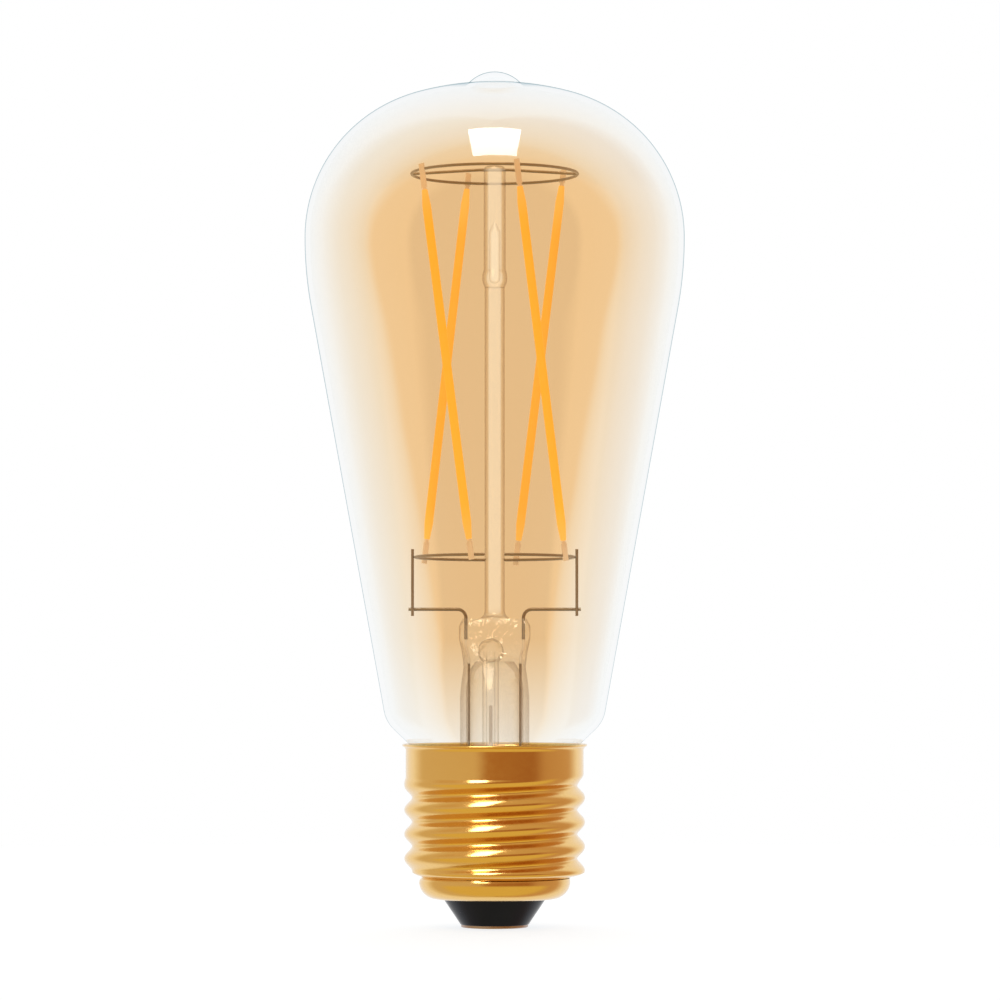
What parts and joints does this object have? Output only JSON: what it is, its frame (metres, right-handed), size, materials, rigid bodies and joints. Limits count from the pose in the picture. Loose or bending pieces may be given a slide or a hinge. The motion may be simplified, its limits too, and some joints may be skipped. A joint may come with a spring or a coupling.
{
  "type": "smart filament light bulb",
  "caption": "Pear-shaped amber filament lamp with a glass stem, crossed glowing LED filaments, a brass screw cap and a radio driver inside the cap.",
  "frame": {"origin": "middle of the centre contact's flat underside, on the lamp's axis", "axes": "+Z along the lamp's axis from the contact to the glass tip; -Y is the side with the stem's exhaust port, seen in front"},
  "size_m": [0.057, 0.057, 0.1282],
  "materials": {
    "amber_glass": "clear, thin amber tint",
    "stem_glass": "clear, fire polished",
    "nickel_wire": "drawn nickel-plated wire",
    "dumet_wire": "red copper-clad wire in glass",
    "copper_wire": "bare copper",
    "led_strip": "matt white strip",
    "led_chip": "polished blue-grey",
    "led_tab": "stamped, bright",
    "led_phosphor": "glowing orange silicone",
    "cap_brass": "rolled, glossy gold lacquer",
    "black_insulator": "glossy black",
    "contact_brass": "pressed, slightly dull",
    "solder": "dull solder",
    "cement": "baked basing cement",
    "white_plastic": "moulded",
    "green_board": "solder mask over laminate",
    "black_board": "solder mask over laminate",
    "shield_steel": "tinned sheet",
    "chip_plastic": "moulded package",
    "smd_ceramic": "fired ceramic",
    "ferrite": "sintered",
    "winding_copper": "enamelled copper",
    "capacitor_aluminium": "drawn can",
    "black_rubber": "moulded",
    "resistor_coat": "fired coating",
    "tinned_wire": "tinned copper",
    "red_insulation": "extruded",
    "white_insulation": "extruded"
  },
  "bodies": {
    "root": {"antenna_wire": "white_insulation", "basing_cement": "cement", "bridge_rectifier": "chip_plastic", "cap_insulator": "black_insulator", "capacitor_bung": "black_rubber", "capacitor_can": "capacitor_aluminium", "centre_contact": "contact_brass", "choke_core": "ferrite", "choke_winding": "winding_copper", "contact_solder": "solder", "driver_board": "green_board", "driver_controller": "chip_plastic", "driver_sleeve": "white_plastic", "driver_switch": "chip_plastic", "dumet_seal_wire_left": "dumet_wire", "dumet_seal_wire_right": "dumet_wire", "exhaust_tube": "stem_glass", "filament_1_chips": "led_chip", "filament_1_phosphor": "led_phosphor", "filament_1_strip": "led_strip", "filament_1_tabs": "led_tab", "filament_2_chips": "led_chip", "filament_2_phosphor": "led_phosphor", "filament_2_strip": "led_strip", "filament_2_tabs": "led_tab", "filament_3_chips": "led_chip", "filament_3_phosphor": "led_phosphor", "filament_3_strip": "led_strip", "filament_3_tabs": "led_tab", "filament_4_chips": "led_chip", "filament_4_phosphor": "led_phosphor", "filament_4_strip": "led_strip", "filament_4_tabs": "led_tab", "fuse_resistor": "resistor_coat", "fuse_resistor_legs": "tinned_wire", "glass_envelope": "amber_glass", "inner_lead_left": "nickel_wire", "inner_lead_right": "nickel_wire", "live_wire": "red_insulation", "lower_half_ring_left": "nickel_wire", "lower_half_ring_right": "nickel_wire", "neutral_wire": "white_insulation", "outer_lead_left": "copper_wire", "outer_lead_right": "copper_wire", "radio_board": "black_board", "radio_chips": "chip_plastic", "radio_flash_chip": "chip_plastic", "radio_shield": "shield_steel", "screw_cap": "cap_brass", "stem_flare_and_press": "stem_glass", "stem_rod": "stem_glass", "stem_rod_tip": "stem_glass", "support_post_left": "nickel_wire", "support_post_right": "nickel_wire", "surface_mount_parts": "smd_ceramic", "upper_filament_ring": "nickel_wire", "upper_ring_arm": "nickel_wire"}
  },
  "joints": []
}
